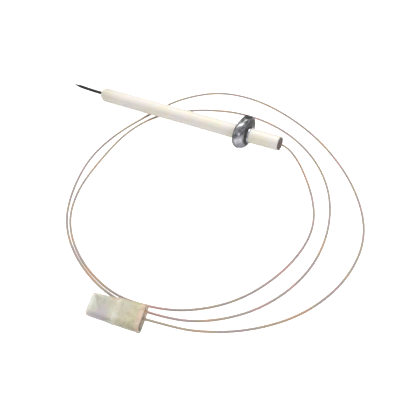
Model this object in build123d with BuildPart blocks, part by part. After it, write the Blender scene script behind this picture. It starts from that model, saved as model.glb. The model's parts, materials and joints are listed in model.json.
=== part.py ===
"""Ignition electrode: a spark rod in a ceramic tube, with its lead and push-on terminal.

The electrode lies on a level surface, z = 0, as it is laid down on a bench. It rests on the edge of its
nose and on the rim of its retaining collar, so it is tilted slightly nose-down. Seen from above, +X runs
from the rod's tip to the ceramic's rear end. The origin is under the middle of the electrode. The lead
lies on the same surface in loose loops and ends in a crimped terminal inside a soft sleeve.
Sizes are in millimetres. Distances along the electrode are counted from the ceramic's nose.
"""

import os
from math import atan, cos, pi, radians, sin, tan

from build123d import *

# Ceramic tube
CERAMIC_LENGTH = 100.0
CERAMIC_RADIUS = 3.5
BORE_RADIUS = 1.2
NOSE_CHAMFER = 1.5
NOSE_FACE_RADIUS = 2.4
REAR_EDGE = 0.4
RECESS_RADIUS = 1.9
RECESS_DEPTH = 4.0
GROOVE_START = 83.6
GROOVE_END = 85.8
GROOVE_DEPTH = 0.25

# Spark rod, and the cement that holds it at each end
ROD_RADIUS = 0.8
ROD_EXPOSED = 18.5
ROD_REAR = 86.0
ROD_CONE_LENGTH = 3.5
ROD_TIP_RADIUS = 0.25
NOSE_SEAL_START = 0.3
NOSE_SEAL_LENGTH = 5.0
CEMENT_CAP_RADIUS = 3.15
CEMENT_CAP_THICKNESS = 0.5
CEMENT_EDGE = 0.25

# Ferrule that joins the rod to the lead's conductor, inside the bore
FERRULE_RADIUS = 1.05
FERRULE_START = 82.0
FERRULE_END = 92.0

# Retaining collar: a stamped cup pushed on to the ceramic, open towards the tip
COLLAR_FRONT = 79.5
COLLAR_RIM_RADIUS = 8.5
COLLAR_DEPTH = 6.0
# Its section, as distance behind the rim's face and radius: outside from rim to neck, then back inside.
COLLAR_OUTLINE = [
    (0, COLLAR_RIM_RADIUS),
    (0.45, COLLAR_RIM_RADIUS),
    (0.9, 8.1),
    (2.4, 7.9),
    (3.3, 7.2),
    (4.3, 5.6),
    (4.9, 4.4),
    (COLLAR_DEPTH, 4.0),
    (COLLAR_DEPTH, CERAMIC_RADIUS - GROOVE_DEPTH),
    (5.6, CERAMIC_RADIUS - GROOVE_DEPTH),
    (5.2, 3.8),
    (4.5, 4.1),
    (3.9, 5.4),
    (3.0, 6.9),
    (2.2, 7.45),
    (0.45, 7.65),
    (0, 7.5),
]
COLLAR_PETALS = 3
COLLAR_SLOT_TURN = 15
COLLAR_SLOT_WIDTH = 1.1
COLLAR_SLOT_RADIUS = 6.0

# Lead: stranded conductor in clear insulation
LEAD_RADIUS = 0.5
CONDUCTOR_RADIUS = 0.28
INSULATION_GAP = 0.02
INSULATION_STARTS = 98.0
LEAD_OUT_OF_REAR = 2.6

# Terminal and its sleeve. Their frame is at the middle of the sleeve's rear end, x towards the mouth.
SLEEVE_REAR = Vector(53.1, -107.3, 3.76)
SLEEVE_HEADING = 191.0
SLEEVE_ROLL = 14.0
SLEEVE_LENGTH = 21.0
SLEEVE_WALL = 0.5
SLEEVE_REAR_SIZE = (10.5, 6.0)
SLEEVE_MOUTH_SIZE = (9.0, 4.6)
SLEEVE_CORNER = 2.0
TERMINAL_REAR = 1.5
TERMINAL_FRONT = 20.2
RECEPTACLE_LENGTH = 8.2
BRASS_SHEET = 0.4
FLOOR_TOP = -0.6
ROLL_RADIUS = 1.0
ROLL_CENTRE = 2.4
ROLL_SWEEP = 255
STRIP_WIDTH = 2.0
STRIP_TAPER = 2.0
INSULATION_CRIMP_LENGTH = 3.0
CONDUCTOR_CRIMP_START = 5.5
CONDUCTOR_CRIMP_LENGTH = 3.5
CRIMP_LOBE_RADIUS = 0.65
CRIMP_LOBE_CENTRE = (0.45, 0.2)
CRIMP_BASE_SIZE = (2.1, 1.1)
CRIMP_BASE_CORNER = 0.3
INSULATION_CRIMP_BASE = 1.5
INSULATION_ENDS = 5.0
CONDUCTOR_ENDS = 9.3

# The electrode's axis: the nose chamfer's edge and the collar's rim both touch the surface.
TILT = atan((COLLAR_RIM_RADIUS - CERAMIC_RADIUS) / (COLLAR_FRONT - NOSE_CHAMFER))
AXIAL = Vector(cos(TILT), 0, sin(TILT))
REAR_END = CERAMIC_LENGTH + CEMENT_CAP_THICKNESS
NOSE = Vector(
    ((ROD_EXPOSED - REAR_END) * cos(TILT) - CEMENT_CAP_RADIUS * sin(TILT)) / 2,
    0,
    CERAMIC_RADIUS * cos(TILT) - NOSE_CHAMFER * sin(TILT),
)
ELECTRODE_AXIS = Axis(NOSE, AXIAL)
# Sketches on this plane use x along the electrode and y as the radius.
PROFILE = Plane(origin=NOSE, x_dir=AXIAL, z_dir=(0, -1, 0))

# The terminal's frame: x towards the mouth, z out of the sleeve's upper flat, rolled towards the front.
HEADING = radians(SLEEVE_HEADING)
ROLL = radians(SLEEVE_ROLL)
TERMINAL = Plane(
    origin=SLEEVE_REAR,
    x_dir=(cos(HEADING), sin(HEADING), 0),
    z_dir=(-sin(HEADING) * sin(ROLL), cos(HEADING) * sin(ROLL), cos(ROLL)),
)

# The lead's corners where it lies on the surface, from the electrode round to the terminal.
# Its centreline is at z = 0.5 there, and it comes up again to the terminal at the end.
LYING_ROUTE = [
    (68, -3, 8.1),
    (74, -6.5, 4.0),
    (82.5, -16, 0.6),
    (89, -30, 0.5),
    (90.5, -45.5, 0.5),
    (87, -64, 0.5),
    (78.5, -82, 0.5),
    (64.5, -95, 0.5),
    (50, -100.5, 0.5),
    (34, -102, 0.5),
    (14, -94.5, 0.5),
    (-2.5, -80.5, 0.5),
    (-11, -62.5, 0.5),
    (-14, -41.5, 0.5),
    (-15, -16.5, 0.5),
    (-8, 3, 0.5),
    (8, 16.5, 0.5),
    (29, 24.5, 0.5),
    (52.5, 22, 0.5),
    (73.5, 9.5, 0.5),
    (88.5, -9.5, 0.5),
    (96.5, -33, 0.5),
    (97, -57.5, 0.5),
    (88, -81, 0.5),
    (71.5, -97, 0.5),
    (54, -102.5, 0.5),
    (34, -103.5, 0.5),
    (13.5, -95.5, 0.5),
    (-3, -82, 0.5),
    (-13, -64, 0.5),
    (-19.5, -42, 0.5),
    (-18.5, -20.5, 0.5),
    (-12.5, 0.5, 0.5),
    (-6, 19, 0.5),
    (9, 35, 0.5),
    (30, 38.5, 0.5),
    (54, 32, 0.5),
    (76.5, 19, 0.5),
    (97, -1, 0.5),
    (110.5, -25.5, 0.5),
    (111.5, -51.5, 0.5),
    (103, -75, 0.5),
    (88, -92, 1.0),
    (72, -102.5, 2.8),
]
LEAD_BEHIND_SLEEVE = 7.0


def on_axis(distance):
    """The point on the electrode's axis that far behind the nose."""
    return NOSE + AXIAL * distance


def in_terminal(distance):
    """The point on the terminal's axis that far from the sleeve's rear end, towards the mouth."""
    return TERMINAL.from_local_coords(Vector(distance, 0, 0))


def across_terminal(distance):
    """A sketch plane square to the terminal, with x across its width and y out of its upper flat."""
    return Plane(origin=in_terminal(distance), x_dir=-TERMINAL.y_dir, z_dir=TERMINAL.x_dir)


def corner_radii(points):
    """The largest tangent arc for each corner: 0.45 of the shorter run over the tangent of half the turn."""
    radii = []
    for before, corner, after in zip(points, points[1:], points[2:]):
        run_in, run_out = corner - before, after - corner
        half_turn = radians(run_in.get_angle(run_out)) / 2
        radii.append(0.45 * min(run_in.length, run_out.length) / tan(half_turn))
    return radii


def finish(part, name):
    """Label the piece and write its STEP file."""
    part.label = name
    export_step(part, f"parts/{name}.step")
    return part


os.makedirs("parts", exist_ok=True)

# --- Ceramic body: bored through, with a recess at the rear and a groove for the collar's neck ---
with BuildPart() as ceramic_body:
    with BuildSketch(PROFILE):
        with BuildLine():
            Polyline(
                (0, BORE_RADIUS),
                (0, NOSE_FACE_RADIUS),
                (NOSE_CHAMFER, CERAMIC_RADIUS),
                (GROOVE_START, CERAMIC_RADIUS),
                (GROOVE_START, CERAMIC_RADIUS - GROOVE_DEPTH),
                (GROOVE_END, CERAMIC_RADIUS - GROOVE_DEPTH),
                (GROOVE_END, CERAMIC_RADIUS),
                (CERAMIC_LENGTH - REAR_EDGE, CERAMIC_RADIUS),
                (CERAMIC_LENGTH, CERAMIC_RADIUS - REAR_EDGE),
                (CERAMIC_LENGTH, RECESS_RADIUS),
                (CERAMIC_LENGTH - RECESS_DEPTH, RECESS_RADIUS),
                (CERAMIC_LENGTH - RECESS_DEPTH, BORE_RADIUS),
                close=True,
            )
        make_face()
    revolve(axis=ELECTRODE_AXIS)
finish(ceramic_body.part, "ceramic_body")

# --- Electrode rod: pointed at the spark end, ends inside the ferrule ---
with BuildPart() as electrode_rod:
    with BuildSketch(PROFILE):
        with BuildLine():
            Polyline(
                (-ROD_EXPOSED, 0),
                (-ROD_EXPOSED, ROD_TIP_RADIUS),
                (ROD_CONE_LENGTH - ROD_EXPOSED, ROD_RADIUS),
                (ROD_REAR, ROD_RADIUS),
                (ROD_REAR, 0),
                close=True,
            )
        make_face()
    revolve(axis=ELECTRODE_AXIS)
finish(electrode_rod.part, "electrode_rod")

# --- Nose seal: the cement ring round the rod, just inside the nose ---
with BuildPart() as nose_seal:
    with BuildSketch(PROFILE):
        with Locations((NOSE_SEAL_START + NOSE_SEAL_LENGTH / 2, (ROD_RADIUS + BORE_RADIUS) / 2)):
            Rectangle(NOSE_SEAL_LENGTH, BORE_RADIUS - ROD_RADIUS)
    revolve(axis=ELECTRODE_AXIS)
finish(nose_seal.part, "nose_seal")

# --- Rear cement: fills the recess round the lead and caps the end face ---
with BuildPart() as rear_cement:
    with BuildSketch(PROFILE):
        with BuildLine():
            Polyline(
                (CERAMIC_LENGTH - RECESS_DEPTH, LEAD_RADIUS),
                (CERAMIC_LENGTH - RECESS_DEPTH, RECESS_RADIUS),
                (CERAMIC_LENGTH, RECESS_RADIUS),
                (CERAMIC_LENGTH, CEMENT_CAP_RADIUS - CEMENT_EDGE),
                (CERAMIC_LENGTH + CEMENT_CAP_THICKNESS / 2, CEMENT_CAP_RADIUS),
                (REAR_END, CEMENT_CAP_RADIUS - CEMENT_EDGE),
                (REAR_END, LEAD_RADIUS),
                close=True,
            )
        make_face()
    revolve(axis=ELECTRODE_AXIS)
finish(rear_cement.part, "rear_cement")

# --- Joining ferrule: crimped over the rod's rear end and over the bared conductor ---
with BuildPart() as joining_ferrule:
    with BuildSketch(PROFILE):
        with BuildLine():
            Polyline(
                (FERRULE_START, ROD_RADIUS),
                (FERRULE_START, FERRULE_RADIUS),
                (FERRULE_END, FERRULE_RADIUS),
                (FERRULE_END, CONDUCTOR_RADIUS),
                (ROD_REAR, CONDUCTOR_RADIUS),
                (ROD_REAR, ROD_RADIUS),
                close=True,
            )
        make_face()
    revolve(axis=ELECTRODE_AXIS)
finish(joining_ferrule.part, "joining_ferrule")

# --- Retaining collar: flat rim, short skirt, dome and a neck that snaps into the ceramic's groove ---
# Three slots through the dome divide it into petals.
with BuildPart() as retaining_collar:
    with BuildSketch(PROFILE):
        with BuildLine():
            Polyline(*[(COLLAR_FRONT + behind, radius) for behind, radius in COLLAR_OUTLINE], close=True)
        make_face()
    revolve(axis=ELECTRODE_AXIS)
    slot_depth = COLLAR_SLOT_RADIUS - CERAMIC_RADIUS + 1
    for petal in range(COLLAR_PETALS):
        turn = COLLAR_SLOT_TURN + 360 * petal / COLLAR_PETALS
        slot_plane = Plane(origin=on_axis(COLLAR_FRONT), z_dir=AXIAL, x_dir=(0, 1, 0)).rotated((0, 0, turn))
        with BuildSketch(slot_plane):
            with Locations((0, COLLAR_SLOT_RADIUS - slot_depth / 2)):
                Rectangle(COLLAR_SLOT_WIDTH, slot_depth)
        extrude(amount=COLLAR_DEPTH + 1, mode=Mode.SUBTRACT)
finish(retaining_collar.part, "retaining_collar")

# --- Lead: the conductor runs from the ferrule to the terminal's crimp, the insulation stops short of both
insulation_start = on_axis(INSULATION_STARTS)
insulation_end = in_terminal(INSULATION_ENDS)
corners = [on_axis(CERAMIC_LENGTH + LEAD_OUT_OF_REAR)]
corners += [Vector(*point) for point in LYING_ROUTE]
corners += [in_terminal(-LEAD_BEHIND_SLEEVE)]
radii = corner_radii([insulation_start, *corners, insulation_end])

with BuildPart() as lead_insulation:
    with BuildLine():
        insulation_path = FilletPolyline(insulation_start, *corners, insulation_end, radius=radii)
    with BuildSketch(Plane(origin=insulation_start, z_dir=AXIAL)):
        Circle(LEAD_RADIUS)
        Circle(CONDUCTOR_RADIUS + INSULATION_GAP, mode=Mode.SUBTRACT)
    sweep(path=insulation_path)
finish(lead_insulation.part, "lead_insulation")

with BuildPart() as lead_conductor:
    with BuildLine():
        conductor_path = FilletPolyline(on_axis(ROD_REAR), *corners, in_terminal(CONDUCTOR_ENDS), radius=radii)
    with BuildSketch(Plane(origin=on_axis(ROD_REAR), z_dir=AXIAL)):
        Circle(CONDUCTOR_RADIUS)
    sweep(path=conductor_path)
finish(lead_conductor.part, "lead_conductor")

# --- Terminal receptacle: one piece of sheet brass, rolled to take a 6.3 mm tab and crimped on the lead ---
floor_middle = FLOOR_TOP - BRASS_SHEET / 2
roll_height = floor_middle + ROLL_RADIUS
receptacle_rear = TERMINAL_FRONT - RECEPTACLE_LENGTH
with BuildPart() as terminal_receptacle:
    # receptacle: a flat floor with both edges rolled inward
    with BuildSketch(across_terminal(receptacle_rear)):
        with BuildLine():
            Line((-ROLL_CENTRE, floor_middle), (ROLL_CENTRE, floor_middle))
            CenterArc((ROLL_CENTRE, roll_height), ROLL_RADIUS, -90, ROLL_SWEEP)
            CenterArc((-ROLL_CENTRE, roll_height), ROLL_RADIUS, 270, -ROLL_SWEEP)
        trace(line_width=BRASS_SHEET)
    extrude(amount=RECEPTACLE_LENGTH)
    # strip that joins the receptacle to both crimps
    with BuildSketch(TERMINAL.offset(FLOOR_TOP - BRASS_SHEET)):
        with BuildLine():
            Polyline(
                (TERMINAL_REAR, STRIP_WIDTH / 2),
                (receptacle_rear - STRIP_TAPER, STRIP_WIDTH / 2),
                (receptacle_rear, ROLL_CENTRE),
                (receptacle_rear, -ROLL_CENTRE),
                (receptacle_rear - STRIP_TAPER, -STRIP_WIDTH / 2),
                (TERMINAL_REAR, -STRIP_WIDTH / 2),
                close=True,
            )
        make_face()
    extrude(amount=BRASS_SHEET)
    # insulation crimp: two wings wrapped round the insulation
    with BuildSketch(across_terminal(TERMINAL_REAR)):
        Circle(LEAD_RADIUS + BRASS_SHEET)
        with Locations((0, floor_middle)):
            Rectangle(INSULATION_CRIMP_BASE, BRASS_SHEET)
        Circle(LEAD_RADIUS, mode=Mode.SUBTRACT)
    extrude(amount=INSULATION_CRIMP_LENGTH)
    # conductor crimp: two wings folded over and down into the strands
    with BuildSketch(across_terminal(CONDUCTOR_CRIMP_START)):
        for side in (-1, 1):
            with Locations((side * CRIMP_LOBE_CENTRE[0], CRIMP_LOBE_CENTRE[1])):
                Circle(CRIMP_LOBE_RADIUS)
        with Locations((0, FLOOR_TOP - BRASS_SHEET + CRIMP_BASE_SIZE[1] / 2)):
            RectangleRounded(*CRIMP_BASE_SIZE, CRIMP_BASE_CORNER)
        Circle(CONDUCTOR_RADIUS, mode=Mode.SUBTRACT)
    extrude(amount=CONDUCTOR_CRIMP_LENGTH)
finish(terminal_receptacle.part, "terminal_receptacle")

# --- Terminal sleeve: soft moulded cover, open at both ends, narrower at the mouth ---
with BuildPart() as terminal_sleeve:
    for shrink, mode in ((0.0, Mode.ADD), (SLEEVE_WALL, Mode.SUBTRACT)):
        sections = []
        for distance, size in ((0, SLEEVE_REAR_SIZE), (SLEEVE_LENGTH, SLEEVE_MOUTH_SIZE)):
            with BuildSketch(across_terminal(distance)) as section:
                RectangleRounded(size[0] - 2 * shrink, size[1] - 2 * shrink, SLEEVE_CORNER - shrink)
            sections.append(section.sketch)
        loft(sections=sections, mode=mode)
finish(terminal_sleeve.part, "terminal_sleeve")

# The tubes are checked against section times length, and the bends are listed.
insulation_section = pi * (LEAD_RADIUS**2 - (CONDUCTOR_RADIUS + INSULATION_GAP) ** 2)
conductor_section = pi * CONDUCTOR_RADIUS**2
for tube, path, section in (
    (lead_insulation.part, insulation_path, insulation_section),
    (lead_conductor.part, conductor_path, conductor_section),
):
    print(f"{tube.label}: {path.length:.1f} mm long, lowest point {tube.bounding_box().min.Z:.3f},")
    print(f"    volume over section times length {tube.volume / (section * path.length):.4f}")
print("corner radii:", ", ".join(f"{radius:.0f}" for radius in radii))
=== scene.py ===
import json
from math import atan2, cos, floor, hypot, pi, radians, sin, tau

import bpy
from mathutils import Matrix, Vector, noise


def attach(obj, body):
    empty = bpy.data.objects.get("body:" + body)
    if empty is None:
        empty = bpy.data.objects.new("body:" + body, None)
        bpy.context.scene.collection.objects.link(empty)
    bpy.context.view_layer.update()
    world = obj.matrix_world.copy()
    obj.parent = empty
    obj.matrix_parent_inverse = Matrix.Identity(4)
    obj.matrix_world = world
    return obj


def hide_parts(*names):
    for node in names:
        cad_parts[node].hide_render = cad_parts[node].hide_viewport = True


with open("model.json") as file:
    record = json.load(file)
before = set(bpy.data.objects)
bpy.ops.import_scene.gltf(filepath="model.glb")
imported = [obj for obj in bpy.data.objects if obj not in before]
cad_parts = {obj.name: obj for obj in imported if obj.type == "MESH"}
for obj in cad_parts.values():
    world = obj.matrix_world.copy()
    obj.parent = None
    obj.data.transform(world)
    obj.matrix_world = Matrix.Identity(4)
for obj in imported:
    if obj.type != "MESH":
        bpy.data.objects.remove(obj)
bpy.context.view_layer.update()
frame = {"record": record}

# Looks of the ignition electrode: ceramic tube, spark rod, lobed steel collar, looped lead with clear
# insulation, and a push-on terminal in a milky sleeve. Object space is in metres. Distances called
# "behind" or "along" and all radii are given to the helpers in millimetres.

MM = 0.001

# The electrode's own axis, read from the shank mount, which runs from the nose chamfer to the groove.
MOUNTS = {mount["name"]: mount for mount in frame["record"]["mounts"]}
SHANK = MOUNTS["shank"]
NOSE_CHAMFER = 1.5
AXIAL = -Vector(SHANK["axis"]).normalized()
UPWARD = Vector((-AXIAL.z, 0, AXIAL.x))
SIDEWAYS = Vector((0, 1, 0))
NOSE = Vector(SHANK["pos_m"]) - AXIAL * (NOSE_CHAMFER + SHANK["dims"]["length_mm"] / 2) * MM
CERAMIC_RADIUS = SHANK["dims"]["r_mm"]
CERAMIC_LENGTH = 100.0
NOSE_FACE_RADIUS = 2.4
REAR_EDGE = 0.4
BORE_RADIUS = 1.2
RECESS_START = 96
RECESS_RADIUS = 1.9
SMOKED_LENGTH = 14

# The spark rod, the ferrule on its rear end, and the cement round it in the nose
ROD_EXPOSED = 18.5
ROD_RADIUS = 0.8
ROD_CONE_LENGTH = 3.5
ROD_TIP_RADIUS = 0.25
ROD_REAR = 86
ROD_SEAT_LIFT = 0.28
ROD_BEND = 0.0025
SEAL_END = 5.3
SEAL_RADIUS = 1.19
FERRULE_START = 82
FERRULE_END = 92
FERRULE_RADIUS = 1.05
FERRULE_BORE = 0.82
CORE_HOLE = 0.3
FERRULE_CRIMPS = (84.3, 89.3)

# The collar. Its rim, by angle from straight up towards +Y: radius, and how long the skirt stays full.
COLLAR_FRONT = 79.5
COLLAR_RIM = [
    (50, 9.1, 5.0), (105, 7.7, 4.5), (165, 8.5, 1.7), (225, 7.2, 1.5), (285, 8.5, 1.8), (345, 7.5, 2.6),
]
COLLAR_DEPTH = 6
NECK_RADIUS = 3.95
SHEET = 0.42
DOME_DEPTH = 5.0
LIP_WIDTH = 0.55
LIP_ROLL = 0.22
LIP_END = 0.7
FOLD = 4.9
INNER_FOLD = 5.2
LOBE_LEAN = 1.3

# The terminal's frame: its origin is the middle of the sleeve's rear end.
TERMINAL_FRONT = 20.2
TOWARDS_MOUTH = Vector(MOUNTS["tab_socket"]["axis"]).normalized()
SLEEVE_ROLL = radians(14)
VERTICAL = Vector((0, 0, 1))
ACROSS = VERTICAL.cross(TOWARDS_MOUTH) * cos(SLEEVE_ROLL) - VERTICAL * sin(SLEEVE_ROLL)
OUTWARD = TOWARDS_MOUTH.cross(ACROSS)
TAB_HEIGHT = -0.17
TAB = Vector(MOUNTS["tab_socket"]["pos_m"])
SLEEVE_REAR = TAB - (TOWARDS_MOUTH * TERMINAL_FRONT + OUTWARD * TAB_HEIGHT) * MM
SLEEVE_LENGTH = 21

# The lead, whose length and diameter are in metres. Its insulation starts inside the rear cement and ends
# inside the terminal's rear crimp, and it is straight for a little way at each end.
LEAD_DIAMETER = 0.001
INSULATION_START = 98
INSULATION_END = 5
STRAIGHT_FROM_CEMENT = 2.6
STRAIGHT_TO_SLEEVE = 7

# The lead's control points, in millimetres, from just behind the rear cement to near the terminal
LYING_ROUTE = [
    (68, -3, 8.1), (74, -6.5, 4.0), (82.5, -16, 0.6), (89, -30, 0.5), (90.5, -45.5, 0.5),
    (87, -64, 0.5), (78.5, -82, 0.5), (64.5, -95, 0.5), (50, -100.5, 0.5), (34, -102, 0.5),
    (14, -94.5, 0.5), (-2.5, -80.5, 0.5), (-11, -62.5, 0.5), (-14, -41.5, 0.5), (-15, -16.5, 0.5),
    (-8, 3, 0.5), (8, 16.5, 0.5), (29, 24.5, 0.5), (52.5, 22, 0.5), (73.5, 9.5, 0.5),
    (88.5, -9.5, 0.5), (96.5, -33, 0.5), (97, -57.5, 0.5), (88, -81, 0.5), (71.5, -97, 0.5),
    (54, -102.5, 0.5), (34, -103.5, 0.5), (13.5, -95.5, 0.5), (-3, -82, 0.5), (-13, -64, 0.5),
    (-19.5, -42, 0.5), (-18.5, -20.5, 0.5), (-12.5, 0.5, 0.5), (-6, 19, 0.5), (9, 35, 0.5),
    (30, 38.5, 0.5), (54, 32, 0.5), (76.5, 19, 0.5), (97, -1, 0.5), (110.5, -25.5, 0.5),
    (111.5, -51.5, 0.5), (103, -75, 0.5), (88, -92, 1.0), (72, -102.5, 2.8),
]


# ---------------------------------------------------------------- helpers

def on_axis(behind, radius=0.0, angle=0.0):
    """The point that far behind the nose, at that radius, at that angle from straight up towards +Y."""
    outward = UPWARD * cos(angle) + SIDEWAYS * sin(angle)
    return NOSE + (AXIAL * behind + outward * radius) * MM


def in_terminal(along, across=0.0, up=0.0):
    """The point in the terminal's frame, counted from the middle of the sleeve's rear end."""
    return SLEEVE_REAR + (TOWARDS_MOUTH * along + ACROSS * across + OUTWARD * up) * MM


def make_object(name, vertices, faces, material, smooth=True):
    """A mesh object in the row frame."""
    mesh = bpy.data.meshes.new(name)
    mesh.from_pydata([tuple(v) for v in vertices], [], faces)
    mesh.validate()
    mesh.polygons.foreach_set("use_smooth", [smooth] * len(mesh.polygons))
    mesh.materials.append(material)
    obj = bpy.data.objects.new(name, mesh)
    bpy.context.scene.collection.objects.link(obj)
    return obj


def grid_faces(rows, columns, close_rows=False, close_columns=True, first=0):
    """Quads over rows of points, each row a ring of that many columns."""
    faces = []
    for row in range(rows if close_rows else rows - 1):
        for column in range(columns if close_columns else columns - 1):
            here, above = row % rows, (row + 1) % rows
            beside = (column + 1) % columns
            faces.append((
                first + here * columns + column,
                first + here * columns + beside,
                first + above * columns + beside,
                first + above * columns + column,
            ))
    return faces


def rounded(outline, size, steps=3, closed=True):
    """The outline with each corner turned into a short curve of about that size."""
    count = len(outline)
    result = []
    for index, corner in enumerate(outline):
        if not closed and index in (0, count - 1):
            result.append(corner)
            continue
        before, after = outline[index - 1], outline[(index + 1) % count]
        ends = []
        for other in (before, after):
            reach = hypot(other[0] - corner[0], other[1] - corner[1])
            share = min(size / reach, 0.42)
            ends.append(tuple(corner[axis] + (other[axis] - corner[axis]) * share for axis in (0, 1)))
        for step in range(steps + 1):
            t = step / steps
            weights = ((1 - t) ** 2, 2 * t * (1 - t), t * t)
            result.append(tuple(
                weights[0] * ends[0][axis] + weights[1] * corner[axis] + weights[2] * ends[1][axis]
                for axis in (0, 1)
            ))
    return result


def lathe(name, profile, sides, material, shape=None, closed=True):
    """Turns a profile of (behind, radius) round the electrode's axis. shape may move each point."""
    vertices = []
    for behind, radius in profile:
        for side in range(sides):
            angle = tau * side / sides
            moved = shape(behind, radius, angle) if shape else (behind, radius, angle)
            vertices.append(on_axis(*moved))
    faces = grid_faces(len(profile), sides, close_rows=closed)
    if not closed:
        faces.append(tuple(range(sides))[::-1])
        faces.append(tuple(range((len(profile) - 1) * sides, len(profile) * sides)))
    return make_object(name, vertices, faces, material)


def subdivide(obj, levels):
    modifier = obj.modifiers.new("subdivision", "SUBSURF")
    modifier.levels = modifier.render_levels = levels
    return obj


def paint(obj, name, amounts):
    """Stores one number for each vertex, for the material to read."""
    attribute = obj.data.attributes.new(name, "FLOAT", "POINT")
    attribute.data.foreach_set("value", amounts)


def rough(point, size, seed=0.0):
    """Smooth noise from -1 to 1 with features of about that size in millimetres."""
    return noise.noise(point / (size * MM) + Vector((seed, 7.3 * seed, -3.1 * seed)))


def clamp(value):
    """The value, kept between 0 and 1."""
    return min(1.0, max(0.0, value))


def hump(offset, reach):
    """A rounded hump that is 1 in its middle and falls to 0 at that reach on either side."""
    return max(0.0, 1 - (offset / reach) ** 2)


def place(obj, body, slot, *nodes):
    """The piece rides on the body and stands for the CAD nodes, which it hides. slot is not used."""
    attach(obj, body)
    if nodes:
        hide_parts(*nodes)
    return obj


# ---------------------------------------------------------------- materials

class Look:
    """A Principled material whose textures are placed in object space."""

    def __init__(self, name, roughness, metallic=0.0, **sockets):
        self.material = bpy.data.materials.new(name)
        self.material.use_nodes = True
        self.nodes = self.material.node_tree.nodes
        self.links = self.material.node_tree.links
        self.shader = self.nodes["Principled BSDF"]
        self.shader.inputs["Roughness"].default_value = roughness
        self.shader.inputs["Metallic"].default_value = metallic
        for socket, value in sockets.items():
            self.shader.inputs[socket.replace("_", " ")].default_value = value
        self.place = self.nodes.new("ShaderNodeTexCoord").outputs["Object"]

    def mapped(self, stretch):
        """Object coordinates, scaled by the given factors along X, Y and Z."""
        mapping = self.nodes.new("ShaderNodeMapping")
        mapping.inputs["Scale"].default_value = stretch
        self.links.new(self.place, mapping.inputs["Vector"])
        return mapping.outputs["Vector"]

    def noise(self, size, detail=3.0, stretch=None, distortion=0.0):
        """Noise with features of about that size in millimetres."""
        node = self.nodes.new("ShaderNodeTexNoise")
        node.inputs["Scale"].default_value = 1 / (size * MM)
        node.inputs["Detail"].default_value = detail
        node.inputs["Distortion"].default_value = distortion
        self.links.new(self.mapped(stretch) if stretch else self.place, node.inputs["Vector"])
        return node.outputs["Fac"]

    def painted(self, name):
        """The number stored for each vertex under that name."""
        node = self.nodes.new("ShaderNodeAttribute")
        node.attribute_name = name
        return node.outputs["Fac"]

    def ramp(self, value, *stops):
        """A colour ramp with (position, colour) stops. A colour may be one grey number."""
        node = self.nodes.new("ShaderNodeValToRGB")
        elements = node.color_ramp.elements
        for index, (position, colour) in enumerate(stops):
            element = elements[index] if index < 2 else elements.new(position)
            element.position = position
            rgb = colour if isinstance(colour, tuple) else (colour, colour, colour)
            element.color = (*rgb, 1)
        self.links.new(value, node.inputs["Fac"])
        return node.outputs["Color"]

    def mix(self, factor, first, second, blend="MIX"):
        """Mixes two colours. Each may be a socket or a plain colour."""
        node = self.nodes.new("ShaderNodeMix")
        node.data_type = "RGBA"
        node.blend_type = blend
        pairs = ((node.inputs["Factor"], factor), (node.inputs[6], first), (node.inputs[7], second))
        for socket, value in pairs:
            if isinstance(value, bpy.types.NodeSocket):
                self.links.new(value, socket)
            else:
                socket.default_value = (*value, 1) if isinstance(value, tuple) else value
        return node.outputs[2]

    def colour(self, socket):
        self.links.new(socket, self.shader.inputs["Base Color"])

    def roughness(self, value, low, high):
        """Roughness that follows a value between two limits."""
        node = self.nodes.new("ShaderNodeMapRange")
        node.inputs["To Min"].default_value = low
        node.inputs["To Max"].default_value = high
        self.links.new(value, node.inputs["Value"])
        self.links.new(node.outputs["Result"], self.shader.inputs["Roughness"])

    def bump(self, *layers):
        """Bump layers of (height, strength, depth in millimetres), one over the other."""
        previous = None
        for height, strength, depth in layers:
            node = self.nodes.new("ShaderNodeBump")
            node.inputs["Strength"].default_value = strength
            node.inputs["Distance"].default_value = depth * MM
            self.links.new(height, node.inputs["Height"])
            if previous:
                self.links.new(previous, node.inputs["Normal"])
            previous = node.outputs["Normal"]
        self.links.new(previous, self.shader.inputs["Normal"])


def ceramic_look():
    """Cream alumina: slow yellow and pink tints, a few dark specks, faint rub marks, smoke at the nose."""
    look = Look("ceramic", 0.42, Subsurface_Weight=0.12, Subsurface_Scale=0.0012, Coat_Weight=0.12,
                Coat_Roughness=0.3)
    clouds = look.ramp(look.noise(9, 4, distortion=0.6), (0.32, (0.93, 0.88, 0.73)),
                       (0.5, (0.94, 0.885, 0.82)), (0.66, (0.93, 0.875, 0.85)))
    rubs = look.ramp(look.noise(3.5, 5, stretch=(0.3, 1, 1)), (0.60, 0.0), (0.78, 1.0))
    rubbed = look.mix(look.ramp(rubs, (0, 0.0), (1, 0.14)), clouds, (0.60, 0.58, 0.54))
    smoked = look.mix(look.ramp(look.painted("smoke"), (0.0, 0.0), (1.0, 0.5)), rubbed, (0.55, 0.53, 0.46))
    specks = look.ramp(look.noise(0.55, 1), (0.77, 0.0), (0.80, 0.55))
    look.colour(look.mix(specks, smoked, (0.32, 0.25, 0.19)))
    look.roughness(look.noise(2, 3), 0.34, 0.52)
    look.bump((look.noise(0.35, 3), 0.25, 0.02), (look.noise(5, 2), 0.3, 0.06))
    return look.material


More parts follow.
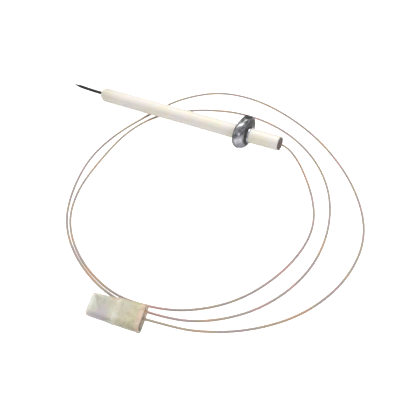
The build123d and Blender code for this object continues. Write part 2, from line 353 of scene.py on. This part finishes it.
def rod_look():
    """Heat-resistant alloy with a dark oxide skin, drawn lengthwise."""
    look = Look("oxidised_rod", 0.45, 1.0)
    skin = look.ramp(look.noise(1.2, 4), (0.3, (0.035, 0.034, 0.036)), (0.7, (0.085, 0.08, 0.078)))
    drawn = look.ramp(look.noise(0.25, 3, stretch=(0.05, 1, 1)), (0.45, 0.0), (0.75, 1.0))
    look.colour(look.mix(look.ramp(drawn, (0, 0.0), (1, 0.35)), skin, (0.16, 0.15, 0.145)))
    look.roughness(look.noise(0.6, 3), 0.36, 0.6)
    look.bump((look.noise(0.2, 3, stretch=(0.06, 1, 1)), 0.4, 0.01))
    return look.material


def ferrule_look():
    """Plain rolled steel."""
    look = Look("ferrule_steel", 0.35, 1.0)
    look.colour(look.ramp(look.noise(1.5, 4), (0.3, (0.45, 0.45, 0.46)), (0.7, (0.64, 0.64, 0.65))))
    look.roughness(look.noise(0.8, 3), 0.25, 0.45)
    look.bump((look.noise(0.2, 3, stretch=(0.2, 1, 1)), 0.25, 0.01))
    return look.material


def steel_look():
    """Zinc-plated spring steel: clouded and lilac where clean, darker at its lip's edge, with dirt and
    painted shade in its fold and over its upper lobe.
    """
    look = Look("collar_steel", 0.3, 1.0)
    plate = look.ramp(look.noise(2.4, 3, distortion=0.8), (0.3, (0.50, 0.49, 0.56)),
                      (0.52, (0.62, 0.61, 0.68)), (0.72, (0.74, 0.74, 0.76)))
    stains = look.ramp(look.noise(1.1, 4), (0.56, 0.0), (0.74, 0.6))
    stained = look.mix(stains, plate, (0.20, 0.21, 0.20))
    # The painted mask is dirt, plus painted shade in the fold at the neck and over the upper lobe.
    dirt_and_shade_ramp = look.ramp(look.painted("dirt_and_shade"), (0.05, 0.0), (0.85, 1.0))
    look.colour(look.mix(dirt_and_shade_ramp, stained, (0.085, 0.09, 0.088)))
    look.roughness(look.noise(0.8, 4), 0.16, 0.38)
    look.bump((look.noise(1.2, 2), 0.4, 0.12), (look.noise(0.2, 3), 0.15, 0.012))
    return look.material


def cement_look(name, dark, light):
    """Gritty fired cement."""
    look = Look(name, 0.85)
    grit = look.ramp(look.noise(0.5, 5), (0.3, dark), (0.72, light))
    look.colour(grit)
    look.bump((look.noise(0.3, 4), 0.7, 0.06), (look.noise(1.4, 2), 0.5, 0.1))
    return look.material


def insulation_look():
    """Clear insulation, coloured by the copper inside it and slightly milky."""
    look = Look("clear_insulation", 0.4, Alpha=0.9, IOR=1.4, Specular_IOR_Level=0.12, Coat_Weight=0.04,
                Coat_Roughness=0.2)
    look.colour(look.ramp(look.noise(16, 2), (0.34, (0.64, 0.43, 0.32)), (0.46, (0.52, 0.45, 0.35)),
                          (0.54, (0.48, 0.415, 0.405)), (0.66, (0.64, 0.42, 0.40))))
    look.roughness(look.noise(2, 3), 0.28, 0.5)
    look.bump((look.noise(0.8, 2), 0.2, 0.02))
    return look.material


def copper_look():
    """Fine copper strands, a little tarnished in places."""
    look = Look("copper_strands", 0.38, 0.9)
    look.colour(look.ramp(look.noise(13, 3), (0.34, (0.78, 0.50, 0.34)), (0.5, (0.60, 0.50, 0.42)),
                          (0.68, (0.70, 0.48, 0.44))))
    look.roughness(look.noise(0.5, 3), 0.25, 0.45)
    look.bump((look.noise(0.1, 2), 0.2, 0.005))
    return look.material


def brass_look():
    """Rolled sheet brass, tinned in places, with fine rolling lines."""
    look = Look("terminal_brass", 0.32, 1.0)
    sheet = look.ramp(look.noise(3, 4), (0.3, (0.72, 0.53, 0.25)), (0.7, (0.86, 0.68, 0.38)))
    tarnish = look.ramp(look.noise(1.0, 4), (0.56, 0.0), (0.75, 0.5))
    look.colour(look.mix(tarnish, sheet, (0.40, 0.27, 0.13)))
    look.roughness(look.noise(0.6, 3), 0.2, 0.42)
    look.bump((look.noise(0.15, 3, stretch=(0.2, 1, 1)), 0.25, 0.008))
    return look.material


def sleeve_look():
    """Milky soft plastic: pink at the rear bead, yellowed along the body, grey and lilac at the mouth.

    It has painted shade over the terminal inside and along its lower edge, and a coppery stain by the lead.
    """
    look = Look("sleeve_plastic", 0.38, Alpha=0.74, IOR=1.5, Subsurface_Weight=0.3, Subsurface_Scale=0.0015,
                Coat_Weight=0.15, Coat_Roughness=0.25)
    # The bright band near the middle is a painted highlight on the ridge of the moulded step. The rear
    # bead's light pink is partly painted light inside its shaded opening.
    along = look.ramp(look.painted("reach"), (0.05, (0.92, 0.74, 0.60)), (0.10, (0.80, 0.75, 0.54)),
                      (0.40, (0.80, 0.76, 0.60)), (0.50, (0.96, 0.92, 0.82)), (0.58, (0.78, 0.76, 0.66)),
                      (0.78, (0.78, 0.77, 0.69)), (0.95, (0.90, 0.89, 0.82)))
    blotches = look.ramp(look.noise(3.6, 3, distortion=1.2), (0.30, (0.66, 0.66, 0.60)),
                         (0.44, (0.90, 0.89, 0.85)), (0.58, (1.0, 1.0, 0.97)), (0.70, (0.90, 0.88, 0.98)))
    body = look.mix(1.0, along, blotches, "MULTIPLY")
    # shade is painted shade: over the terminal inside the sleeve and along its lower edge.
    patches = (("shade", 0.8, (0.30, 0.34, 0.28)), ("lilac", 0.7, (0.70, 0.62, 0.70)),
               ("copper", 0.5, (0.85, 0.56, 0.33)), ("blue", 0.8, (0.70, 0.74, 0.88)))
    for name, full, colour in patches:
        body = look.mix(look.ramp(look.painted(name), (0.0, 0.0), (0.8, full)), body, colour)
    look.colour(body)
    look.roughness(look.noise(1.5, 3), 0.28, 0.5)
    look.bump((look.noise(2.6, 2), 0.7, 0.3), (look.noise(0.3, 3), 0.15, 0.02))
    return look.material


# ---------------------------------------------------------------- camera, light, floor

def make_camera():
    """The camera stands in front to the right and above, and sees the whole loop."""
    target = Vector((39.74, -41.26, 0)) * MM
    azimuth, elevation, distance = radians(29), radians(45), 264 * MM
    back = Vector((cos(elevation) * sin(azimuth), -cos(elevation) * cos(azimuth), sin(elevation)))
    data = bpy.data.cameras.new("camera")
    data.lens = 54
    data.sensor_width = 36
    data.clip_start, data.clip_end = 0.01, 20
    camera = bpy.data.objects.new("camera", data)
    camera.location = target + back * distance
    camera.rotation_euler = (-back).to_track_quat("-Z", "Y").to_euler()
    bpy.context.scene.collection.objects.link(camera)
    bpy.context.scene.camera = camera


def make_light(name, place_m, aim, size, power, colour):
    """A soft square area light."""
    data = bpy.data.lights.new(name, "AREA")
    data.size = size
    data.energy = power
    data.color = colour
    light = bpy.data.objects.new(name, data)
    light.location = place_m
    light.rotation_euler = (Vector(aim) - Vector(place_m)).to_track_quat("-Z", "Y").to_euler()
    bpy.context.scene.collection.objects.link(light)


def make_stage():
    """A pale floor and a backdrop that read white, and two soft lights.

    The room that the object reflects is dark at eye level and bright above.
    """
    floor_material = bpy.data.materials.new("floor")
    floor_material.use_nodes = True
    shader = floor_material.node_tree.nodes["Principled BSDF"]
    shader.inputs["Base Color"].default_value = (0.94, 0.94, 0.94, 1)
    shader.inputs["Roughness"].default_value = 0.9
    shader.inputs["Specular IOR Level"].default_value = 0.1
    shader.inputs["Emission Color"].default_value = (1, 1, 1, 1)
    ray = floor_material.node_tree.nodes.new("ShaderNodeLightPath")
    floor_material.node_tree.links.new(ray.outputs["Is Camera Ray"], shader.inputs["Emission Strength"])
    half = 3.0
    corners = [(-half, -half, 0), (half, -half, 0), (half, half, 0), (-half, half, 0)]
    make_object("floor", corners, [(0, 1, 2, 3)], floor_material)
    world = bpy.data.worlds.new("room")
    bpy.context.scene.world = world
    world.use_nodes = True
    nodes, links = world.node_tree.nodes, world.node_tree.links
    direction = nodes.new("ShaderNodeTexCoord")
    split = nodes.new("ShaderNodeSeparateXYZ")
    ramp = nodes.new("ShaderNodeValToRGB")
    low, high = ramp.color_ramp.elements
    low.position, low.color = 0.02, (0.05, 0.05, 0.055, 1)
    high.position, high.color = 0.8, (1.0, 1.0, 1.0, 1)
    links.new(direction.outputs["Generated"], split.inputs["Vector"])
    links.new(split.outputs["Z"], ramp.inputs["Fac"])
    links.new(ramp.outputs["Color"], nodes["Background"].inputs["Color"])
    nodes["Background"].inputs["Strength"].default_value = 0.72
    kinds = ("Background", "MixShader", "LightPath")
    white, choice, seen = (nodes.new("ShaderNode" + kind) for kind in kinds)
    white.inputs["Color"].default_value = (1, 1, 1, 1)
    links.new(seen.outputs["Is Camera Ray"], choice.inputs[0])
    links.new(nodes["Background"].outputs["Background"], choice.inputs[1])
    links.new(white.outputs["Background"], choice.inputs[2])
    links.new(choice.outputs["Shader"], nodes["World Output"].inputs["Surface"])
    middle = (0.03, -0.03, 0)
    make_light("key", (-0.15, 0.22, 0.75), middle, 0.4, 3.0, (1, 0.985, 0.95))
    make_light("fill", (0.5, -0.5, 0.45), middle, 0.5, 1.0, (0.96, 0.98, 1))
    bpy.context.scene.view_settings.view_transform = "Standard"


# ---------------------------------------------------------------- lead

def lead_points():
    """The lead's control points, in metres: from inside the rear cement to the terminal's crimp."""
    points = [on_axis(INSULATION_START), on_axis(CERAMIC_LENGTH + STRAIGHT_FROM_CEMENT)]
    points += [Vector(point) * MM for point in LYING_ROUTE]
    points += [in_terminal(-STRAIGHT_TO_SLEEVE), in_terminal(INSULATION_END)]
    return points


def make_route_curve(name, points):
    """One smooth open spline with those control points."""
    curve = bpy.data.curves.new(name, "CURVE")
    curve.dimensions = "3D"
    spline = curve.splines.new("NURBS")
    spline.points.add(len(points) - 1)
    for control, point in zip(spline.points, points):
        control.co = (*point, 1)
    spline.order_u = 3
    spline.use_endpoint_u = True
    spline.resolution_u = 10
    curve.use_fill_caps = True
    obj = bpy.data.objects.new(name, curve)
    bpy.context.scene.collection.objects.link(obj)
    return obj


def centreline(curve_object):
    """The points of the curve's own line, read before it has a bevel."""
    bpy.context.view_layer.update()
    graph = bpy.context.evaluated_depsgraph_get()
    mesh = bpy.data.meshes.new_from_object(curve_object.evaluated_get(graph))
    points = [vertex.co.copy() for vertex in mesh.vertices]
    bpy.data.meshes.remove(mesh)
    return points


def resample(points, spacing):
    """Points along the line, that far apart."""
    result, carry = [points[0]], 0.0
    for start, end in zip(points, points[1:]):
        length = (end - start).length
        reach = spacing - carry
        while reach <= length:
            result.append(start.lerp(end, reach / length))
            reach += spacing
        carry = length - (reach - spacing)
    return result


def strand_frames(points):
    """Two directions square to the line at each point, carried along without twist."""
    frames, normal = [], Vector((0, 0, 1))
    for index, point in enumerate(points):
        ahead = points[min(index + 1, len(points) - 1)] - points[max(index - 1, 0)]
        ahead.normalize()
        normal = (normal - ahead * normal.dot(ahead)).normalized()
        frames.append((normal, ahead.cross(normal)))
    return frames


def make_strands(line):
    """Seven copper strands, six laid round one, whose ends spread a little past the terminal's crimp."""
    strand_radius, ring_radius, around, lay, sides = 0.09, 0.185, 6, 9.0, 6
    spacing, tail = 1.1, 2.6
    points = resample(line, spacing * MM)
    frames = strand_frames(points)
    vertices, faces = [], []
    for strand in range(around + 1):
        first = len(vertices)
        for index, (point, (normal, binormal)) in enumerate(zip(points, frames)):
            left = (len(points) - 1 - index) * spacing
            spread = 1 + 0.7 * max(0.0, 1 - left / tail) ** 2
            turn = tau * (index * spacing / lay + strand / around)
            reach = ring_radius * spread if strand < around else 0.0
            centre = point + (normal * cos(turn) + binormal * sin(turn)) * reach * MM
            for side in range(sides):
                angle = tau * side / sides
                vertices.append(centre + (normal * cos(angle) + binormal * sin(angle)) * strand_radius * MM)
        faces += grid_faces(len(points), sides, first=first)
        faces.append(tuple(range(first, first + sides))[::-1])
        faces.append(tuple(range(len(vertices) - sides, len(vertices))))
    return make_object("conductor_strands", vertices, faces, copper_look())


def make_lead():
    """The clear insulation is the cord, and the strands follow its line."""
    insulation = make_route_curve("insulation", lead_points())
    line = centreline(insulation)
    insulation.data.bevel_depth = LEAD_DIAMETER / 2
    insulation.data.bevel_resolution = 4
    insulation.data.materials.append(insulation_look())
    place(insulation, "electrode", "clear_insulation", "lead_insulation")
    inside = [on_axis(90), on_axis(94)]
    bared = [in_terminal(along) for along in (6.5, 8.0, 9.3)]
    strands = make_strands(inside + line + bared)
    place(strands, "electrode", "copper_strands", "lead_conductor")
    return insulation, strands


# ---------------------------------------------------------------- electrode

def make_ceramic():
    """The ceramic tube: soft edges, a slightly uneven surface, a recess at each end."""
    radius = CERAMIC_RADIUS
    outline = [(0, BORE_RADIUS), (0, NOSE_FACE_RADIUS), (NOSE_CHAMFER, radius)]
    outline += [(behind, radius) for behind in range(4, 96, 4)]
    outline += [(CERAMIC_LENGTH - REAR_EDGE, radius), (CERAMIC_LENGTH, radius - REAR_EDGE),
                (CERAMIC_LENGTH, RECESS_RADIUS), (RECESS_START, RECESS_RADIUS), (RECESS_START, BORE_RADIUS)]

    def shape(behind, ring, angle):
        if ring < 2:
            return behind, ring, angle
        uneven = 0.035 * rough(on_axis(behind, ring, angle), 6, 1.0)
        return behind, ring + uneven, angle

    tube = lathe("ceramic_tube", rounded(outline, 0.35), 64, ceramic_look(), shape)
    smoke = []
    for vertex in tube.data.vertices:
        behind = (vertex.co - NOSE).dot(AXIAL) / MM
        smoke.append(max(0.0, 1 - behind / SMOKED_LENGTH) * (0.75 + 0.5 * rough(vertex.co, 3, 13.0)))
    paint(tube, "smoke", smoke)
    return place(tube, "electrode", "ceramic", "ceramic_body")


def rod_lift(behind):
    """How far the rod stands above the tube's axis: set a little high in its cement, and bent upward."""
    return ROD_SEAT_LIFT * clamp((6 - behind) / 5) + ROD_BEND * max(0.0, -behind) ** 2


def lifted(behind, ring, angle):
    """The point moved up with the rod."""
    across, up = ring * sin(angle), ring * cos(angle) + rod_lift(behind)
    return behind, hypot(across, up), atan2(across, up)


def make_rod():
    """The spark rod: drawn wire with a ground point, a little bent upward as handled."""
    radius, shoulder = ROD_RADIUS, ROD_CONE_LENGTH - ROD_EXPOSED
    outline = [(-ROD_EXPOSED, 0.12), (-ROD_EXPOSED + 0.2, ROD_TIP_RADIUS), (shoulder, radius - 0.03),
               (shoulder + 0.8, radius)]
    outline += [(behind, radius) for behind in range(-10, 4, 2)]
    outline += [(20, radius), (ROD_REAR, radius)]

    def shape(behind, ring, angle):
        grain = 0.012 * rough(on_axis(behind * 0.3, ring, angle), 1, 2.0)
        return lifted(behind, ring + grain, angle)

    rod = lathe("spark_rod", rounded(outline, 0.5, closed=False), 24, rod_look(), shape, closed=False)
    return place(rod, "electrode", "electrode_alloy", "electrode_rod")


def make_cements():
    """Cement in the nose, sunk a little, and the brown cap on the rear face with a fillet up the lead."""
    nose_outline = [(0.45, ROD_RADIUS), (0.3, 0.86), (0.36, 1.1), (0.25, SEAL_RADIUS),
                    (SEAL_END, SEAL_RADIUS), (SEAL_END, ROD_RADIUS)]

    def gritty(behind, ring, angle):
        lump = rough(on_axis(behind, ring, angle), 0.8, 3.0)
        place_in_ring = lifted(behind, ring, angle) if ring < 0.9 else (behind, ring, angle)
        return behind + 0.06 * lump, *place_in_ring[1:]

    nose = lathe("nose_cement", rounded(nose_outline, 0.1), 40,
                 cement_look("nose_cement", (0.38, 0.33, 0.28), (0.68, 0.62, 0.55)), gritty)
    place(nose, "electrode", "nose_cement", "nose_seal")

    outline = [(RECESS_START, 0.5), (RECESS_START, RECESS_RADIUS), (99.9, RECESS_RADIUS),
               (99.95, 3.05), (100.15, 3.16), (100.38, 3.05),
               (100.5, 2.3), (100.46, 1.4), (100.62, 0.85), (100.95, 0.56), (100.95, 0.5)]

    def lumpy(behind, ring, angle):
        if behind < 99 or ring < 0.6:
            return behind, ring, angle
        point = on_axis(behind, ring, angle)
        lump = 0.13 * rough(point, 1.6, 4.0) + 0.05 * rough(point, 0.5, 5.0)
        edge = 0.14 * rough(on_axis(100, 3, angle), 1.8, 6.0) if ring > 2.8 else 0.0
        return behind + lump * (behind > 100.2), ring + edge, angle

    cap = lathe("rear_cement_cap", rounded(outline, 0.18), 72,
                cement_look("rear_cement", (0.12, 0.094, 0.09), (0.33, 0.265, 0.25)), lumpy)
    return place(cap, "electrode", "cement", "rear_cement")


def make_ferrule():
    """The joining ferrule with its two crimp dents. It is sealed inside the bore."""
    outline = [(FERRULE_START, FERRULE_BORE), (FERRULE_START, 1.0), (82.2, FERRULE_RADIUS),
               (91.8, FERRULE_RADIUS), (FERRULE_END, 1.0), (FERRULE_END, CORE_HOLE),
               (ROD_REAR, CORE_HOLE), (ROD_REAR, FERRULE_BORE)]
    long_outline = []
    for (behind, ring), (next_behind, next_ring) in zip(outline, outline[1:] + outline[:1]):
        steps = 16 if abs(next_behind - behind) > 8 else 1
        for step in range(steps):
            share = step / steps
            long_outline.append((behind + (next_behind - behind) * share, ring + (next_ring - ring) * share))

    def crimped(behind, ring, angle):
        if ring < 1:
            return behind, ring, angle
        dent = sum(hump(behind - middle, 1.1) for middle in FERRULE_CRIMPS)
        return behind, ring - 0.16 * dent * max(0.0, cos(2 * angle)) ** 2, angle

    ferrule = lathe("joining_crimp", long_outline, 32, ferrule_look(), crimped)
    return place(ferrule, "electrode", "ferrule_steel", "joining_ferrule")


def around_rim(angle):
    """The rim's radius and fullness at that angle, eased from each lobe to the next valley."""
    degrees = (angle * 360 / tau - COLLAR_RIM[0][0]) % 360
    step = 360 / len(COLLAR_RIM)
    index = floor(degrees / step) % len(COLLAR_RIM)
    eased = (1 - cos(pi * (degrees - index * step) / step)) / 2
    start, end = COLLAR_RIM[index], COLLAR_RIM[(index + 1) % len(COLLAR_RIM)]
    return tuple(start[item] + (end[item] - start[item]) * eased for item in (1, 2))


def collar_radius(behind, angle):
    """The outside radius there: a rolled lip, a skirt that rounds over into the dome, and the neck."""
    rim, fullness = around_rim(angle)
    inward = clamp((behind - LIP_WIDTH) / (DOME_DEPTH - LIP_WIDTH))
    share = (1 - inward ** fullness) ** (1 / fullness)
    lip = LIP_ROLL * hump(behind - LIP_WIDTH / 2, LIP_WIDTH * 0.75)
    return NECK_RADIUS + (rim - NECK_RADIUS - LIP_ROLL) * share + lip


def collar_dirt_and_shade(behind, angle, point):
    """How dark the metal is, from 0 to 1: the lip's edge, and dirt and painted shade in the fold at the neck
    and over the upper lobe.
    """
    lip = max(0.0, 1 - behind / 1.5)
    # The fold's darkening is dirt and painted shade. The upper lobe's darkening is painted shade, which also
    # dims the key light's reflection there.
    fold = max(0.0, 1 - abs(behind - FOLD) / 0.9)
    lobe = max(0.0, cos(angle - radians(15))) ** 0.5 * min(1.0, max(0.25, (4.7 - behind) / 1.2))
    return min(1.0, max(lip, fold, lobe * (0.78 + 0.6 * rough(point, 2.0, 10.0))))


def make_collar():
    """The stamped collar: rolled lip, skirt, dented dome and a neck that grips the ceramic."""
    depths = [0.0, 0.14, 0.3, 0.48, 0.7, 1.0, 1.5, 2.0, 2.5, 3.0,
              3.5, 3.9, 4.25, 4.55, 4.8, 4.94, 5.0, 5.3, 5.7, COLLAR_DEPTH]
    sides, upper_lobe = 120, radians(COLLAR_RIM[0][0])
    vertices, dirt_and_shade = [], []
    for inner in (False, True):
        for behind in reversed(depths) if inner else depths:
            for side in range(sides):
                angle = tau * side / sides
                depth = max(0.0, behind - SHEET * (LIP_END < behind < INNER_FOLD)) if inner else behind
                radius = collar_radius(behind, angle) - SHEET * inner
                point = on_axis(COLLAR_FRONT + depth, radius, angle)
                if LIP_END < behind < FOLD:
                    dent = 0.30 * rough(point, 3.4, 8.0) + 0.10 * rough(point, 1.5, 9.0)
                    depth += 0.6 * dent
                    radius += 0.8 * dent
                depth += LOBE_LEAN * max(0.0, cos(angle - upper_lobe)) ** 2 * (1 - behind / COLLAR_DEPTH)
                vertices.append(on_axis(COLLAR_FRONT + depth, max(radius, CERAMIC_RADIUS + 0.04), angle))
                dirt_and_shade.append(collar_dirt_and_shade(behind, angle, point))
    faces = grid_faces(2 * len(depths), sides, close_rows=True)
    collar = make_object("collar_stamping", vertices, faces, steel_look())
    paint(collar, "dirt_and_shade", dirt_and_shade)
    subdivide(collar, 1)
    return place(collar, "electrode", "collar_steel", "retaining_collar")


# ---------------------------------------------------------------- terminal and sleeve

def rounded_box_ring(width, height, corner, count):
    """Points round a rectangle with rounded corners, as (across, up), the same number at each corner."""
    ring = []
    per_corner = count // 4
    for quarter, (x_side, y_side) in enumerate(((1, 1), (-1, 1), (-1, -1), (1, -1))):
        for step in range(per_corner):
            angle = pi / 2 * (quarter + step / (per_corner - 1))
            ring.append((
                x_side * (width / 2 - corner) + corner * cos(angle),
                y_side * (height / 2 - corner) + corner * sin(angle),
            ))
    return ring


def spot(along, across, middle, size):
    """A patch on the sleeve that is 1 in its middle and fades to 0 at its edge."""
    return max(0.0, 1 - hypot((along - middle[0]) / size[0], (across - middle[1]) / size[1]))


def make_sleeve():
    """The soft sleeve: rear bead, body, a moulded step, and a dented mouth that is smaller than the rear."""
    count = 48
    # along, width, height
    outside = [(0.0, 10.3, 5.8), (0.12, 10.5, 6.0), (1.2, 10.5, 6.0), (1.45, 10.3, 5.8), (4, 10.1, 5.65),
               (7, 9.9, 5.5), (10.0, 9.65, 5.3), (10.5, 9.9, 5.5), (11.2, 9.8, 5.45), (11.7, 9.4, 5.1),
               (15, 9.1, 4.9), (18, 8.9, 4.7), (20.6, 8.8, 4.6), (20.9, 8.7, 4.5), (21.0, 8.5, 4.3)]
    inside = (20.95, 20.6, 18, 15, 11.5, 7, 4, 1.2, 0.9, 0.25, 0.0)
    rings = []
    for along, width, height in outside:
        rings.append((along, rounded_box_ring(width, height, 2.0 - 0.3 * along / SLEEVE_LENGTH, count), 1.0))
    for along in inside:
        width, height = 9.5 - 1.55 * along / SLEEVE_LENGTH, 5.0 - 1.3 * along / SLEEVE_LENGTH
        lip = 0.12 if along in (20.95, 0.0) else 0.0
        bead = 0.7 if along < 1.0 else 0.0
        rings.append((along, rounded_box_ring(width + lip - bead, height + lip - bead, 1.4, count), 0.3))
    vertices, marks = [], {name: [] for name in ("reach", "lilac", "shade", "copper", "blue")}
    for along, ring, share in rings:
        for across, up in ring:
            point = in_terminal(along, across, up)
            towards_mouth = clamp((along - 11) / 4)
            slack = rough(point, 7, 11.0) * (0.22 + 0.15 * towards_mouth) + rough(point, 2.5, 12.0) * 0.08
            squash = 1 - 0.06 * max(0.0, (along - 14) / 7) * max(0.0, 1 - abs(across) / 3)
            free = max(0.0, 1 - abs(up) / 3) * 0.3 + 0.7
            grown = 1 + slack * free * share / 4
            vertices.append(in_terminal(along, across * grown, min(up * squash * grown, 3.2)))
            # Painted shade along the lower edge, where the sleeve meets the floor.
            lower_edge_shade = (across > 3) * max(0.0, -up - 0.8) / 1.4
            crease = 4.0 - 0.5 * (SLEEVE_LENGTH - along)
            marks["reach"].append(along / SLEEVE_LENGTH)
            marks["lilac"].append(clamp(across - crease) * clamp(along - 14))
            # The spot is painted shade where the terminal lies inside the sleeve.
            marks["shade"].append(max(spot(along, across, (16.5, -1.0), (4.5, 2.2)), lower_edge_shade))
            marks["copper"].append(spot(along, across, (11.8, -4.3), (2.2, 1.8)))
            marks["blue"].append(spot(along, across, (8.3, -2.4), (1.9, 1.5)))
    faces = grid_faces(len(rings), count, close_rows=True)
    sleeve = make_object("soft_sleeve", vertices, faces, sleeve_look())
    for name, amounts in marks.items():
        paint(sleeve, name, amounts)
    subdivide(sleeve, 1)
    return place(sleeve, "sleeve", "sleeve_plastic", "terminal_sleeve")


def sheet_strip(stations, thickness, material, name):
    """Bent sheet metal: each station is (along, open line of (across, up)), given the sheet's thickness."""
    rings = []
    for along, line in stations:
        count = len(line)
        normals = []
        for index in range(count):
            before, after = line[max(index - 1, 0)], line[min(index + 1, count - 1)]
            run = hypot(after[0] - before[0], after[1] - before[1])
            normals.append(((before[1] - after[1]) / run, (after[0] - before[0]) / run))
        near = [(p[0] + n[0] * thickness / 2, p[1] + n[1] * thickness / 2) for p, n in zip(line, normals)]
        far = [(p[0] - n[0] * thickness / 2, p[1] - n[1] * thickness / 2) for p, n in zip(line, normals)]
        rings.append((along, near + far[::-1]))
    size = len(rings[0][1])
    vertices = [in_terminal(along, across, up) for along, ring in rings for across, up in ring]
    faces = grid_faces(len(rings), size)
    half = size // 2
    for end in (0, len(rings) - 1):
        for index in range(half - 1):
            a, b = end * size + index, end * size + index + 1
            c, d = end * size + size - 2 - index, end * size + size - 1 - index
            faces.append((a, b, c, d) if end else (d, c, b, a))
    return make_object(name, vertices, faces, material)


def receptacle_line(flare):
    """The receptacle's bent line: one rolled edge, the floor, the other rolled edge."""
    centre, roll, floor_up = 2.4 + flare * 0.1, 1.0 + flare * 0.06, -0.8 - flare * 0.06
    arc = [radians(-90 + 255 * step / 18) for step in range(19)]
    right = [(centre + roll * cos(angle), floor_up + roll + roll * sin(angle)) for angle in arc]
    left = [(-across, up) for across, up in reversed(right)]
    flat = [(centre * (step / 4 - 1), floor_up) for step in range(1, 8)]
    return left + flat + right


def make_receptacle(brass):
    """The female receptacle: floor and two rolls, flared at the mouth, with a dimple in the floor."""
    stations = []
    for along in (12.0, 12.15, 13, 14, 15, 15.5, 16, 16.5, 17, 18, 19.2, 19.7, 20.05, 20.2):
        flare = max(0.0, (along - 19.2) / 1.0)
        line = receptacle_line(flare)
        dimple = 0.28 * hump(along - 16, 0.9)
        line = [(across, up + dimple * hump(across, 0.9) * (up < -0.7)) for across, up in line]
        stations.append((along, line))
    return sheet_strip(stations, 0.4, brass, "tab_receptacle")


def make_crimps(brass):
    """The neck that narrows from the receptacle to the crimps, and both crimps folded on the lead."""
    stations = []
    for along in (1.5, 1.7, 3, 4.3, 4.5, 5.0, 5.5, 5.7, 7, 8.8, 9.0, 9.6, 10.4, 11.2, 12.0, 12.3):
        if along <= 4.5:
            line = wrapped_line(radius=0.70, fold=0.0)
        elif 5.5 <= along <= 9.0:
            line = wrapped_line(radius=0.46, fold=0.28)
        else:
            rise = clamp((along - 10) / 2)
            half = 0.8 + 1.5 * rise
            edge = 0.45 - 0.35 * rise
            line = [(half * (step / 10 - 1), -0.8 + edge * abs(step / 10 - 1) ** 3) for step in range(21)]
        stations.append((along, line))
    return sheet_strip(stations, 0.36, brass, "crimp_barrels")


def wrapped_line(radius, fold):
    """A wing-to-wing line wrapped round the lead, its two wings meeting and folding down in the middle."""
    line = []
    for step in range(21):
        side = step / 10 - 1
        angle = -pi / 2 + side * radians(168)
        inward = fold * max(0.0, abs(side) - 0.75) / 0.25
        line.append((
            (radius + 0.02) * cos(angle) * (1 + 0.25 * fold),
            -0.1 * fold + (radius + 0.02) * sin(angle) - inward * 0.6 - (0.7 - radius) * 0.6,
        ))
    return line


def make_terminal():
    """The terminal in two pieces of one sheet: receptacle, and neck with crimps."""
    brass = brass_look()
    receptacle = make_receptacle(brass)
    place(receptacle, "electrode", "terminal_brass", "terminal_receptacle")
    crimps = make_crimps(brass)
    place(crimps, "electrode", "terminal_brass")
    return receptacle, crimps


# ---------------------------------------------------------------- the whole

make_camera()
insulation, strands = make_lead()
sleeve = make_sleeve()
receptacle, crimps = make_terminal()
make_stage()
make_ceramic()
make_rod()
make_cements()
make_ferrule()
make_collar()
